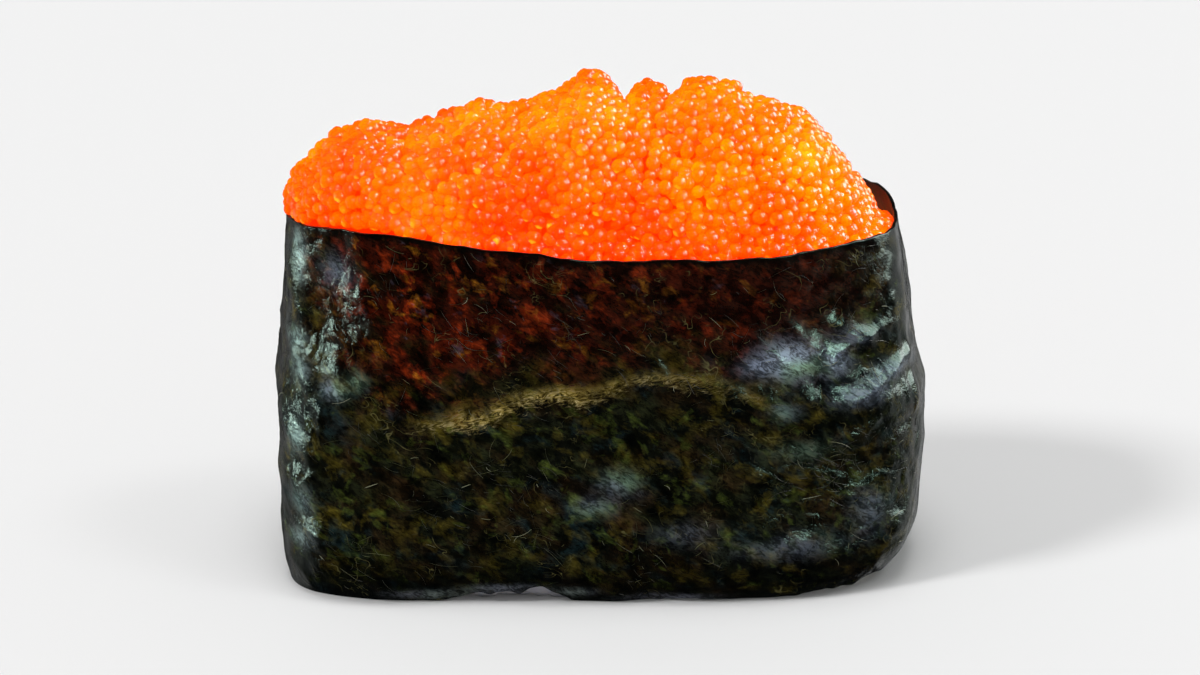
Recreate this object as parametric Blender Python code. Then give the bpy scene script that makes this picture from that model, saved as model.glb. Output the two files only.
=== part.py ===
"""A gunkan sushi of flying fish roe: a block of pressed rice, a strip of nori wrapped on edge
round it, and a heap of roe that fills the cup above the rice and stands over the rim.

Lengths here are in millimetres and are turned to metres when a mesh is made. X runs along the
sushi, -Y is its front and Z is up. The origin is on the plate, in the middle of the whole.
"""

import math

import bmesh
import bpy
import numpy as np
from mathutils.geometry import delaunay_2d_cdt

MM = 0.001

# Driving sizes
STRIP_HEIGHT = 32.6  # a nori sheet of 190 mm cut into six gunkan strips
NORI_THICKNESS = 0.4
CLEARANCE = 0.3  # between neighbouring solids
WRINKLE = 0.4  # how far the nori's wrinkles come in, which the rice keeps clear of
RICE_HEIGHT = 19.0
EGG = 1.5  # diameter of one egg of flying fish roe
GRAIN = (6.2, 2.7, 2.2)  # a cooked short grain: length, width, thickness

# The band's half sizes at its rim, and how much further its belly stands out
RIGHT_RIM, RIGHT_BELLY = 26.0, 2.8
LEFT_RIM, LEFT_BELLY = 28.3, 0.3
FRONT_RIM, FRONT_BELLY = 14.5, 0.1
BACK_RIM, BACK_BELLY = 13.4, 0.6
BELLY_LEVEL = 10.0
# How far the lower edge tucks in under the band, and over what height
RIGHT_TUCK, LEFT_TUCK, FRONT_TUCK, BACK_TUCK = 3.0, 0.2, 1.9, 1.2
TUCK_HEIGHT = 5.0
# Squareness of the plan at the plate and at the rim: 2 is an ellipse, more is squarer
FRONT_LEFT_SQUARE = (5.4, 2.25)
FRONT_RIGHT_SQUARE = (3.2, 3.0)
BACK_RIGHT_SQUARE = (3.0, 3.0)
BACK_LEFT_SQUARE = (3.6, 2.4)

# The strip's tail laps over its start behind, and ends in a step
LAP_START, LAP_END = math.radians(62), math.radians(112)

# The roe's crest along the sushi, as x and height over the rim, and clumps on its sides
CREST = (
    (-28.6, 0.8),
    (-26.5, 3.4),
    (-24, 6.0),
    (-21, 7.6),
    (-15, 8.0),
    (-8, 9.7),
    (0, 11.2),
    (9.5, 11.1),
    (14, 9.7),
    (18, 7.6),
    (21, 4.0),
    (25, 0.0),
)
# Clumps and clefts as x, y, half length, half depth and height
CLUMPS = (
    (-0.6, 3.5, 1.9, 3.2, 0.9),
    (2.2, 4.5, 1.0, 3.4, -1.2),
    (4.5, 3.0, 1.3, 3.0, 0.6),
    (6.6, 4.5, 0.9, 3.2, -1.1),
    (9.2, 3.0, 2.4, 3.6, 0.6),
    (-9.5, 2.0, 2.4, 3.6, 0.7),
    (-19.5, -5.0, 4.0, 4.0, 0.7),
    (15.0, -7.0, 5.0, 4.0, 0.7),
    (-4.0, -9.0, 6.0, 3.0, 0.5),
)
# The dome is full at the left end and slopes off at the right
DOME_LEFT, DOME_RIGHT = (4.2, 0.5), (2.3, 0.6)
EGGS_IN_SKIN = 800
EGGS_STANDING = 130
EGG_BUMP = 0.54  # depth of the valley between neighbouring eggs

COLUMNS = 84  # round the band


def smooth_step(value):
    """0 below 0, 1 above 1, with a smooth rise between."""
    t = np.clip(value, 0.0, 1.0)
    return t * t * (3 - 2 * t)


def half_sizes(angle, z):
    """Half length and half depth of the band on that side, at that height."""
    span = STRIP_HEIGHT - BELLY_LEVEL
    belly = 1 - np.clip((z - BELLY_LEVEL) / span, 0, 1.2) ** 2
    tuck = np.clip(1 - z / TUCK_HEIGHT, 0, 1) ** 2
    right = RIGHT_RIM + RIGHT_BELLY * belly - RIGHT_TUCK * tuck
    left = LEFT_RIM + LEFT_BELLY * belly - LEFT_TUCK * tuck
    front = FRONT_RIM + FRONT_BELLY * belly - FRONT_TUCK * tuck
    back = BACK_RIM + BACK_BELLY * belly - BACK_TUCK * tuck
    across = np.where(np.cos(angle) > 0, right, left)
    along = np.where(np.sin(angle) > 0, back, front)
    return across, along


def squareness(angle, z):
    """The superellipse's exponent in that quarter, from the plate's to the rim's."""
    share = smooth_step(z / STRIP_HEIGHT)
    quarters = (
        (np.sin(angle) > 0, np.cos(angle) > 0, BACK_RIGHT_SQUARE),
        (np.sin(angle) > 0, np.cos(angle) <= 0, BACK_LEFT_SQUARE),
        (np.sin(angle) <= 0, np.cos(angle) <= 0, FRONT_LEFT_SQUARE),
        (np.sin(angle) <= 0, np.cos(angle) > 0, FRONT_RIGHT_SQUARE),
    )
    exponent = np.zeros(np.broadcast(angle, z).shape)
    for is_back, is_right, (low, high) in quarters:
        exponent = np.where(is_back & is_right, low + (high - low) * share, exponent)
    return exponent


def shoulder_level(x):
    """Height of the line where the rice's shoulder presses the nori outwards."""
    return 20.6 - 3.2 * smooth_step(np.abs(x - 5.0) / 26.0)


def relief(angle, z):
    """Wrinkles of the damp nori: long waves, the rice's shoulder and folds at the left corner."""
    x = 28 * np.cos(angle)
    waves = 0.16 * np.sin(7 * angle + 0.24 * z) + 0.12 * np.sin(12 * angle - 0.31 * z + 1.3)
    waves = waves + 0.08 * np.sin(17 * angle + 0.2 * z + 0.4)
    shoulder = 0.45 * np.exp(-(((z - shoulder_level(x)) / 2.0) ** 2))
    corner = 0.4 * np.exp(-(((angle - math.radians(202)) / 0.07) ** 2))
    return waves + shoulder - corner * smooth_step(z / 6.0)


def band_radius(angle, z):
    """Distance of the nori's outer face from the upright axis, in the direction angle."""
    across, along = half_sizes(angle, z)
    power = squareness(angle, z)
    inverse = np.abs(np.cos(angle) / across) ** power + np.abs(np.sin(angle) / along) ** power
    return inverse ** (-1 / power) + relief(angle, z)


def outline_point(angle, z):
    """Point of the band's outer face in plan."""
    radius = band_radius(angle, z)
    return np.stack([radius * np.cos(angle), radius * np.sin(angle)], -1)


def inwards(angle, z):
    """Direction in plan, square to the band's outer face and into the sushi."""
    tangent = outline_point(angle + 1e-3, z) - outline_point(angle - 1e-3, z)
    tangent /= np.linalg.norm(tangent, axis=-1, keepdims=True)
    return np.stack([-tangent[..., 1], tangent[..., 0]], -1)


def band_point(angle, z, inset=0.0):
    """Point on the band's outer face, moved in by inset square to the outline."""
    flat = outline_point(angle, z) + inwards(angle, z) * np.asarray(inset)[..., None]
    return np.concatenate([flat, np.broadcast_to(z, angle.shape)[..., None]], -1)


def even_angles(count):
    """Angles whose points lie evenly spaced round the band at mid height."""
    fine = np.linspace(0, 2 * math.pi, 4001)
    points = band_point(fine, np.full(fine.shape, STRIP_HEIGHT / 2))
    steps = np.linalg.norm(np.diff(points, axis=0), axis=1)
    length = np.concatenate([[0], np.cumsum(steps)])
    return np.interp(np.arange(count) * length[-1] / count, length, fine)


def rim_level(angle):
    """Height of the strip's upper edge, a little higher at the left of the front."""
    lift = 1.0 * np.exp(-(((angle - math.radians(214)) / 0.45) ** 2))
    sag = 0.4 * np.exp(-(((angle - math.radians(285)) / 0.5) ** 2))
    return STRIP_HEIGHT + lift - sag + 0.12 * np.sin(9 * angle)


def foot_level(angle):
    """Height of the strip's lower edge, which lifts off the plate in front and at the ends."""
    front = 1.3 * np.exp(-(((angle - math.radians(249)) / 0.2) ** 2))
    right = 0.5 * np.exp(-(((angle - math.radians(345)) / 0.35) ** 2))
    return np.maximum(0.0, front + right + 0.2 * np.sin(5 * angle) + 0.15 * np.sin(11 * angle))


def lap_thickness(angle):
    """Extra thickness where the strip's tail lies over its start, ending in a step."""
    rise = smooth_step((angle - LAP_START) / math.radians(6))
    return NORI_THICKNESS * rise * (angle <= LAP_END)


def overhang(angle):
    """1 at the left end, where the roe spills over the rim, and 0 elsewhere."""
    return smooth_step(1.4 - np.abs(angle - math.radians(184)) / 0.45)


def roe_edge(angle):
    """Height at which the roe meets the nori: at the rim in front, lower at the right and behind."""
    sunk_right = 2.2 * np.exp(-(((angle - math.radians(22)) / 0.45) ** 2))
    sunk_back = 0.8 * smooth_step(np.sin(angle) / 0.5)
    over_rim = np.minimum(1, 3 * overhang(angle))
    return rim_level(angle) + 0.6 * over_rim - (sunk_right + sunk_back) * (1 - over_rim)


def wall_radius(angle, z):
    """Radius of the cup's inside, less the clearance that the filling keeps."""
    inward = inwards(angle, z)
    slant = -(inward[..., 0] * np.cos(angle) + inward[..., 1] * np.sin(angle))
    return band_radius(angle, z) - (NORI_THICKNESS + CLEARANCE) / slant


def roe_reach(angle):
    """How far the roe's skin reaches from the upright axis: to the wall, or over the rim."""
    return wall_radius(angle, roe_edge(angle)) + 1.0 * overhang(angle)


def dome(share, angle):
    """The dome's section: 1 over the axis, 0 at its edge."""
    leftness = smooth_step(0.5 - 0.8 * np.cos(angle))
    power = DOME_RIGHT[0] + (DOME_LEFT[0] - DOME_RIGHT[0]) * leftness
    root = DOME_RIGHT[1] + (DOME_LEFT[1] - DOME_RIGHT[1]) * leftness
    return np.clip(1 - share**power, 0, 1) ** root


def heap_height(x, y):
    """Height of the roe's skin over a point of the plan."""
    angle = np.mod(np.arctan2(y, x), 2 * math.pi)
    edge = roe_edge(angle)
    share = np.clip(np.hypot(x, y) / roe_reach(angle), 0, 1)
    end = np.where(x > 0, 0.0, math.pi)
    along = np.clip(np.abs(x) / roe_reach(end), 0, 1)
    crest = np.interp(x, *zip(*CREST)) + STRIP_HEIGHT - roe_edge(end)
    height = crest * dome(share, angle) / np.maximum(dome(along, end), 0.35)
    for middle_x, middle_y, long, deep, lift in CLUMPS:
        offset = ((x - middle_x) / long) ** 2 + ((y - middle_y) / deep) ** 2
        height = height + lift * np.exp(-offset) * (1 - share**6)
    return edge + height


def held_inside(x, y, margin):
    """Moves points of the plan in, so that they stay that far inside the cup's wall."""
    angle = np.mod(np.arctan2(y, x), 2 * math.pi)
    most = roe_reach(angle) - margin
    share = np.minimum(1, most / np.maximum(np.hypot(x, y), 1e-6))
    return x * share, y * share


def spread_eggs(rim):
    """Points over the heap's skin that push each other and the rim away, to lie evenly."""
    draw = np.random.default_rng(5)
    angle = draw.random(EGGS_IN_SKIN) * 2 * math.pi
    reach = np.sqrt(draw.random(EGGS_IN_SKIN)) * roe_reach(angle)
    x, y = reach * np.cos(angle), reach * np.sin(angle)
    for _ in range(110):
        points = np.stack([x, y, heap_height(x, y)], -1)
        apart = points[:, None] - np.concatenate([points, rim])[None]
        distance = np.linalg.norm(apart, axis=-1)
        distance[np.arange(EGGS_IN_SKIN), np.arange(EGGS_IN_SKIN)] = 99
        push = np.clip(EGG - distance, 0, None) / np.maximum(distance, 1e-3)
        move = (apart * push[..., None]).sum(1) * 0.4
        x, y = held_inside(x + move[:, 0], y + move[:, 1], 0.12)
    return np.stack([x, y, heap_height(x, y)], -1)


def heap_normal(points):
    """Outward directions of the heap's skin at those points."""
    step = 0.05
    x, y = points[:, 0], points[:, 1]
    slope_x = (heap_height(x + step, y) - heap_height(x - step, y)) / (2 * step)
    slope_y = (heap_height(x, y + step) - heap_height(x, y - step)) / (2 * step)
    normal = np.stack([-slope_x, -slope_y, np.ones(len(x))], -1)
    return normal / np.linalg.norm(normal, axis=1, keepdims=True)


def new_object(name, points, faces, material):
    """A closed body from points in millimetres, with its faces turned outwards."""
    mesh = bpy.data.meshes.new(name)
    mesh.from_pydata((np.asarray(points) * MM).tolist(), [], faces)
    shape = bmesh.new()
    shape.from_mesh(mesh)
    loose = [vertex for vertex in shape.verts if not vertex.link_faces]
    bmesh.ops.delete(shape, geom=loose, context="VERTS")
    bmesh.ops.recalc_face_normals(shape, faces=shape.faces)
    if shape.calc_volume(signed=True) < 0:
        bmesh.ops.reverse_faces(shape, faces=shape.faces)
    bmesh.ops.triangulate(shape, faces=shape.faces)
    shape.to_mesh(mesh)
    shape.free()
    mesh.shade_smooth()
    if material:
        mesh.materials.append(material)
    obj = bpy.data.objects.new(name, mesh)
    bpy.context.scene.collection.objects.link(obj)
    return obj


def food_material(name, colour, roughness):
    """A Principled surface of that colour."""
    material = bpy.data.materials.new(name)
    material.use_nodes = True
    surface = material.node_tree.nodes["Principled BSDF"]
    surface.inputs["Base Color"].default_value = (*colour, 1)
    surface.inputs["Roughness"].default_value = roughness
    surface.inputs["Metallic"].default_value = 0.0
    return material


def ring_faces(rows, columns, closed):
    """Quads between successive rings of points, and from the last to the first if closed."""
    faces = []
    for row in range(rows if closed else rows - 1):
        low, high = row * columns, ((row + 1) % rows) * columns
        for column in range(columns):
            after = (column + 1) % columns
            faces.append((low + column, low + after, high + after, high + column))
    return faces


def make_nori(material):
    """The strip: outer face up, over the upper edge, inner face down and back under."""
    seam = [LAP_END, LAP_END + 0.004]
    angles = even_angles(COLUMNS)
    angles = np.sort(np.concatenate([angles[np.abs(angles - LAP_END) > 0.02], seam]))
    foot, rim = foot_level(angles), rim_level(angles)
    rings = []
    for share in (0, 0.045, 0.1, 0.2, 0.32, 0.44, 0.56, 0.68, 0.8, 0.9, 1):
        z = foot + (rim - foot) * share
        rings.append(band_point(angles, z, -lap_thickness(angles)))
    for share in (1, 0.9, 0.8, 0.6, 0.4, 0.2, 0.1, 0):
        z = foot + (rim - foot) * share
        rings.append(band_point(angles, z, np.full(angles.shape, NORI_THICKNESS)))
    faces = ring_faces(len(rings), len(angles), closed=True)
    return new_object("nori_wrap", np.concatenate(rings), faces, material)


def filled_rings(rings):
    """Points and faces of a closed body from rings, with a fan over the first and the last."""
    columns = len(rings[0])
    faces = ring_faces(len(rings), columns, closed=False)
    points = np.concatenate(rings + [[rings[0].mean(0)], [rings[-1].mean(0)]])
    low_centre, high_centre = len(points) - 2, len(points) - 1
    last = (len(rings) - 1) * columns
    for column in range(columns):
        after = (column + 1) % columns
        faces.append((low_centre, after, column))
        faces.append((high_centre, last + column, last + after))
    return points, faces


def make_grain(name, centre, turn, tilt):
    """One cooked grain, pressed flat where it meets the plate and flush against the nori."""
    shape = bmesh.new()
    bmesh.ops.create_icosphere(shape, subdivisions=1, radius=0.5)
    points = np.array([v.co for v in shape.verts])
    faces = [[v.index for v in f.verts] for f in shape.faces]
    shape.free()
    points = points * 1.1 * np.array(GRAIN)
    lean = np.array(
        [[math.cos(tilt), 0, math.sin(tilt)], [0, 1, 0], [-math.sin(tilt), 0, math.cos(tilt)]]
    )
    spin = np.array(
        [[math.cos(turn), -math.sin(turn), 0], [math.sin(turn), math.cos(turn), 0], [0, 0, 1]]
    )
    points = points @ lean.T @ spin.T + centre
    points[:, 2] = np.maximum(points[:, 2], 0)
    angle = np.mod(np.arctan2(points[:, 1], points[:, 0]), 2 * math.pi)
    most = wall_radius(angle, points[:, 2]) - WRINKLE
    share = np.minimum(1, most / np.maximum(np.hypot(points[:, 0], points[:, 1]), 1e-6))
    points[:, :2] *= share[:, None]
    return new_object(name, points, faces, None)


def make_rice(material):
    """The pressed block, with whole grains showing on its underside."""
    angles = even_angles(36)
    rings = []
    wall = NORI_THICKNESS + CLEARANCE + WRINKLE
    for z, shrink in ((0.9, 1.2), (1.1, 0.4), (3, 0), (8, 0), (13, 0), (17.4, 0), (18.7, 0.8)):
        level, inset = np.full(angles.shape, z), np.full(angles.shape, wall + shrink)
        rings.append(band_point(angles, level, inset))
    rings.append(rings[-1] * [0.9, 0.85, 1] + [0, 0, RICE_HEIGHT - 18.7])
    points, faces = filled_rings(rings)
    core = new_object("rice_block", points, faces, material)
    draw = np.random.default_rng(11)
    grains = [make_grain("grain_middle", np.array([0, 0, 0.45]), 0.4, 0.0)]
    rows, in_row = 5, 12
    for row in range(rows):
        for place in range(in_row):
            x = (place + 0.5 * (row % 2) - in_row / 2 + 0.25) * 4.6 + draw.uniform(-0.7, 0.7)
            y = (row - rows / 2 + 0.5) * 4.9 + draw.uniform(-0.6, 0.6)
            angle = math.atan2(y, x) % (2 * math.pi)
            room = float(wall_radius(np.array([angle]), np.array([1.0]))[0]) - 1.2
            if math.hypot(x, y) > room or math.hypot(x, y) < 2.6:
                continue
            turn = draw.uniform(0, math.pi)
            tilt = draw.uniform(-0.12, 0.12)
            centre = np.array([x, y, draw.uniform(0.45, 0.8)])
            grains.append(make_grain(f"grain_{row}_{place}", centre, turn, tilt))
    return fused(core, grains)


def fused(core, extras):
    """Joins the extras to the core by one Boolean union, and removes them."""
    group = bpy.data.collections.new(core.name + "_pieces")
    for extra in extras:
        bpy.context.scene.collection.objects.unlink(extra)
        group.objects.link(extra)
    bpy.context.scene.collection.children.link(group)
    union = core.modifiers.new("Fuse", "BOOLEAN")
    union.operation = "UNION"
    union.operand_type = "COLLECTION"
    union.collection = group
    union.solver = "EXACT"
    graph = bpy.context.evaluated_depsgraph_get()
    mesh = bpy.data.meshes.new_from_object(core.evaluated_get(graph))
    core.modifiers.clear()
    core.data = mesh
    for extra in extras:
        bpy.data.objects.remove(extra)
    bpy.data.collections.remove(group)
    keep_main_shell(mesh)
    return core


def keep_main_shell(mesh):
    """Drops loose scraps, and the walls of hollows that the fusing sealed."""
    shape = bmesh.new()
    shape.from_mesh(mesh)
    unseen, shells = set(shape.verts), []
    while unseen:
        shell, front = set(), [next(iter(unseen))]
        while front:
            vertex = front.pop()
            if vertex in shell:
                continue
            shell.add(vertex)
            front += [edge.other_vert(vertex) for edge in vertex.link_edges]
        unseen -= shell
        shells.append(shell)
    shells.sort(key=len)
    bmesh.ops.delete(shape, geom=[v for shell in shells[:-1] for v in shell], context="VERTS")
    bmesh.ops.triangulate(shape, faces=shape.faces)
    shape.to_mesh(mesh)
    shape.free()


def unrolled(points):
    """The heap's skin laid flat: each point at its true distance over the skin from the top."""
    flat = []
    for x, y in points[:, :2]:
        share = np.linspace(0, 1, 24)
        line = np.stack([x * share, y * share, heap_height(x * share, y * share)], -1)
        length = np.linalg.norm(np.diff(line, axis=0), axis=1).sum()
        flat.append(np.array([x, y]) / max(math.hypot(x, y), 1e-6) * length)
    return np.array(flat)


def egg_skin(rim, eggs, standing):
    """Points and faces of the heap's skin: rim points, then eggs, each a pyramid or a bead.

    The eggs are joined into triangles, with a valley point sunk in the middle of each, and
    an egg's faces run from its top down to the valleys round it.
    """
    tops = np.concatenate([rim, eggs])
    ring = list(range(len(rim)))
    found = delaunay_2d_cdt(unrolled(tops).tolist(), [], [ring], 1, 1e-6)
    if len(found[0]) != len(tops):
        raise ValueError("two eggs lie on one spot")
    order = [origin[0] for origin in found[3]]
    triangles = [[order[corner] for corner in face] for face in found[2]]
    corners = tops[np.array(triangles)]
    middle = corners.mean(1)
    longest = np.linalg.norm(corners - corners[:, [1, 2, 0]], axis=-1).max(1)
    at_rim = (np.array(triangles) < len(rim)).sum(1) >= 2
    depth = np.where(at_rim, 0.15, EGG_BUMP) * np.clip(longest / EGG, 0.5, 1.15)
    valleys = middle - heap_normal(middle) * depth[:, None]
    beside = {}
    for index, (a, b, c) in enumerate(triangles):
        for edge in ((a, b), (b, c), (c, a)):
            beside[edge] = index
    points = list(tops) + list(valleys)
    up = heap_normal(tops)
    faces, shoulders = [], {}

    def shoulder(egg, valley):
        """A standing egg's widest point on the side of that valley."""
        if (egg, valley) not in shoulders:
            aside = valleys[valley] - tops[egg]
            aside -= up[egg] * np.dot(aside, up[egg])
            aside *= 0.46 * EGG / np.linalg.norm(aside)
            shoulders[egg, valley] = len(points)
            points.append(tops[egg] + aside + up[egg] * EGG * 0.16)
        return shoulders[egg, valley]

    for (start, end), index in beside.items():
        other = beside.get((end, start))
        low = len(tops) + index
        if other is None:
            faces.append((start, end, low))
            continue
        next_low = len(tops) + other
        if start in standing:
            near, far = shoulder(start, index), shoulder(start, other)
            faces += [(start, far, near), (near, far, next_low), (near, next_low, low)]
        else:
            faces.append((start, next_low, low))
    for egg in standing:
        points[egg] = tops[egg] + up[egg] * EGG * 0.5
    return points, faces


def clear_of_band(points):
    """Moves points that would touch the nori back into the cup, and leaves those over the rim."""
    angle = np.mod(np.arctan2(points[:, 1], points[:, 0]), 2 * math.pi)
    in_cup = points[:, 2] < rim_level(angle) + CLEARANCE
    most = np.where(in_cup, wall_radius(angle, points[:, 2]), np.inf)
    share = np.minimum(1, most / np.maximum(np.hypot(points[:, 0], points[:, 1]), 1e-6))
    return points * np.stack([share, share, np.ones(len(share))], -1)


def make_roe(material):
    """The heap: a plug down to the rice under a skin with a bump for each egg."""
    angles = even_angles(COLUMNS)
    inset = np.full(angles.shape, NORI_THICKNESS + CLEARANCE)
    edge = roe_edge(angles)
    reach = roe_reach(angles)
    rim = np.stack([reach * np.cos(angles), reach * np.sin(angles), edge], -1)
    eggs = spread_eggs(rim)
    lift = np.random.default_rng(8).uniform(-0.2, 0.25, (len(eggs), 1))
    eggs += heap_normal(eggs) * lift
    standing = {COLUMNS + egg for egg in range(0, EGGS_IN_SKIN, EGGS_IN_SKIN // EGGS_STANDING)}
    points, faces = egg_skin(rim, eggs, standing)
    points = list(clear_of_band(np.array(points)))
    floor = RICE_HEIGHT + CLEARANCE
    first = len(points)
    under_edge = edge - np.where(overhang(angles) > 0, 0.0, 1.2)
    levels = (np.full(angles.shape, floor), np.full(angles.shape, 27.0), under_edge)
    for level, clear in zip(levels, (WRINKLE, WRINKLE, WRINKLE / 2)):
        points += list(band_point(angles, level, inset + clear))
    points.append([0, 0, floor])
    for column in range(COLUMNS):
        after = (column + 1) % COLUMNS
        lower = [first, first + COLUMNS, first + 2 * COLUMNS, 0]
        for low, high in zip(lower[:-1], lower[1:]):
            faces.append((low + column, low + after, high + after, high + column))
        faces.append((len(points) - 1, first + after, first + column))
    return new_object("tobiko_heap", points, faces, material)


def centre_on_origin(objects):
    """Moves all of it so that the origin is under the middle of its box."""
    corners = np.concatenate([[v.co for v in o.data.vertices] for o in objects])
    middle = (corners.min(0) + corners.max(0)) / 2
    for obj in objects:
        for vertex in obj.data.vertices:
            vertex.co.x -= middle[0]
            vertex.co.y -= middle[1]


def main():
    for obj in list(bpy.data.objects):
        bpy.data.objects.remove(obj)
    nori = make_nori(food_material("roasted_nori", (0.012, 0.018, 0.010), 0.35))
    rice = make_rice(food_material("sushi_rice", (0.80, 0.76, 0.66), 0.45))
    roe = make_roe(food_material("flying_fish_roe", (0.90, 0.14, 0.01), 0.15))
    centre_on_origin([nori, rice, roe])


main()
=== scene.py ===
# Tobiko gunkan sushi: a damp strip of nori on edge round pressed rice, heaped with flying fish roe.
# Lengths are in millimetres until a mesh is made. -Y is the front, and +X the end with the lower roe.
import math

import bpy
import numpy as np
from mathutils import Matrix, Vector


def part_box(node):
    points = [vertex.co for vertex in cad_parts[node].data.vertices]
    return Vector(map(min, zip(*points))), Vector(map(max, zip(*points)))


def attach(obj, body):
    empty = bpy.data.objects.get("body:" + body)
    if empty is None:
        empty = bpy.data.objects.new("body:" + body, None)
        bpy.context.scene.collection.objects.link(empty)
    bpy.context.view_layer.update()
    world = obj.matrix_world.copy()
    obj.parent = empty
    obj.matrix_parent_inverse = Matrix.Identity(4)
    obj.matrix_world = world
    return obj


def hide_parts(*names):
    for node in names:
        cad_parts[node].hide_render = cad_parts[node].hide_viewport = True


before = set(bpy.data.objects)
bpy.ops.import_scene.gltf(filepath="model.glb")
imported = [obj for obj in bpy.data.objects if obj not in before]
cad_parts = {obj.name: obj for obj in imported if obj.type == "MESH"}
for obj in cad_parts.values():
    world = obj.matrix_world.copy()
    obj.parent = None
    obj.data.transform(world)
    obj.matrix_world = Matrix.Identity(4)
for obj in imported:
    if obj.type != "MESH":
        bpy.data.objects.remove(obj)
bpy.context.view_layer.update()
mm = 0.001
turn = 2 * math.pi


def smoothStep(value):  # 0 below 0, 1 above 1, 3t^2 - 2t^3 between
    t = np.clip(value, 0.0, 1.0)
    return t * t * (3 - 2 * t)


def softNoise(points, cell, seed):  # random values on a cubic lattice of that cell, smoothly blended: -1 to 1
    side = 24  # lattice points each way, after which it repeats
    lattice = np.random.default_rng(seed).uniform(-1, 1, (side, side, side))
    place = np.asarray(points) / cell
    low = np.floor(place).astype(int)
    part = place - low
    part = part * part * (3 - 2 * part)
    total = 0.0
    for corner in range(8):  # the eight lattice points round each place
        step = np.array([corner & 1, corner >> 1 & 1, corner >> 2 & 1])
        weight = np.where(step == 1, part, 1 - part).prod(-1)
        at = (low + step) % side
        total = total + weight * lattice[at[..., 0], at[..., 1], at[..., 2]]
    return total


def creaseNoise(points, cell, seed):  # 1 on the lattice noise's zero lines, falling off to 0: sharp ridges
    return (1 - np.abs(softNoise(points, cell, seed))) ** 4


def srgb(text):  # "#rrggbb" to linear red, green, blue and 1
    values = [int(text[i:i + 2], 16) / 255 for i in (1, 3, 5)]
    return tuple(v / 12.92 if v <= 0.04045 else ((v + 0.055) / 1.055) ** 2.4 for v in values) + (1.0,)


def gridFaces(rows, columns, closedRows=False, closedColumns=False):  # quads between neighbours of a grid
    row = np.arange(rows if closedRows else rows - 1)[:, None]
    column = np.arange(columns if closedColumns else columns - 1)[None]
    nextRow, nextColumn = (row + 1) % rows, (column + 1) % columns
    corners = (row * columns + column, row * columns + nextColumn,
               nextRow * columns + nextColumn, nextRow * columns + column)
    return np.stack([c + 0 * row + 0 * column for c in corners], -1).reshape(-1, 4)


def copiedFaces(faces, size, count):  # the faces of one shape of that many points, once for each copy of it
    return (faces[None] + size * np.arange(count)[:, None, None]).reshape(-1, faces.shape[1])


def makePiece(name, points, faceBlocks, material, attributes={}):  # a smooth mesh from arrays in millimetres
    mesh = bpy.data.meshes.new(name)
    faces = [face for block in faceBlocks for face in block.tolist()]
    mesh.from_pydata((points * mm).tolist(), [], faces)
    mesh.shade_smooth()
    for key, values in attributes.items():
        layer = mesh.attributes.new(key, "FLOAT", "POINT")
        layer.data.foreach_set("value", np.asarray(values, np.float32).ravel())
    mesh.materials.append(material)
    piece = bpy.data.objects.new(name, mesh)
    bpy.context.scene.collection.objects.link(piece)
    return piece


# clears the nodes of a material or a world, and returns the function that adds one node there. Each input is
# a value or a link: from a socket, or from a node's first output
def emptyTree(owner):
    owner.use_nodes = True
    tree = owner.node_tree
    tree.nodes.clear()

    def addNode(kind, inputs={}, **settings):
        node = tree.nodes.new("ShaderNode" + kind)
        for key, value in settings.items():
            setattr(node, key, value)
        for key, value in inputs.items():
            if isinstance(value, bpy.types.Node):
                value = value.outputs[0]
            if isinstance(value, bpy.types.NodeSocket):
                tree.links.new(value, node.inputs[key])
            else:
                node.inputs[key].default_value = value
        return node

    return addNode


def newMaterial(name):  # a material, and the function that adds nodes to it
    material = bpy.data.materials.new(name)
    return material, emptyTree(material)


def colourRamp(add, factor, stops):  # colours in order along the factor, each as (place, hex)
    node = add("ValToRGB", {0: factor})
    ramp = node.color_ramp
    while len(ramp.elements) < len(stops):
        ramp.elements.new(0.5)
    for element, (place, colour) in zip(ramp.elements, stops):
        element.position = place
        element.color = srgb(colour)
    return node


band = {
    "height": 32.6, "thickness": 0.3, "bellyLevel": 10.0, "tuckHeight": 5.0,
    "rim": {"right": 26.0, "left": 28.3, "front": 14.5, "back": 13.4},
    "belly": {"right": 2.8, "left": 0.3, "front": 0.1, "back": 0.6},
    "tuck": {"right": 3.0, "left": 0.2, "front": 1.9, "back": 1.2},
    # squareness of each quarter at the plate and at the rim
    "frontLeft": (5.4, 2.25), "frontRight": (3.2, 3.0), "backRight": (3.0, 3.0), "backLeft": (3.6, 2.4),
    "lapStart": math.radians(62), "lapEnd": math.radians(112),
    # bumps along the edges: height in mm, place in degrees, half width in radians
    "rimBumps": ((1.0, 214, 0.45), (-0.4, 285, 0.5)),
    "footBumps": ((1.5, 250, 0.13), (0.7, 233, 0.2), (0.5, 345, 0.35)),
    "cornerFold": (0.4, 202, 0.07),
    "columns": 620, "innerRows": 26,
}


def swelling(angle, height, place, width):  # height * exp(-(offset from the place / half width)^2)
    return height * np.exp(-(((angle - math.radians(place)) / width) ** 2))


def halfSize(side, z):  # rim size + belly * (1 - rise^2) - tuck * fall^2
    rise = np.clip((z - band["bellyLevel"]) / (band["height"] - band["bellyLevel"]), 0, 1.2)
    fall = np.clip(1 - z / band["tuckHeight"], 0, 1)
    return band["rim"][side] + band["belly"][side] * (1 - rise**2) - band["tuck"][side] * fall**2


def squareness(angle, z):  # each quarter's exponent, blended from the plate's to the rim's
    share = smoothStep(z / band["height"])
    isBack, isRight = np.sin(angle) > 0, np.cos(angle) > 0
    quarter = [band[key][0] + (band[key][1] - band[key][0]) * share
               for key in ("backRight", "backLeft", "frontLeft", "frontRight")]
    return np.select([isBack & isRight, isBack, ~isRight], quarter[:3], quarter[3])


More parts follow.
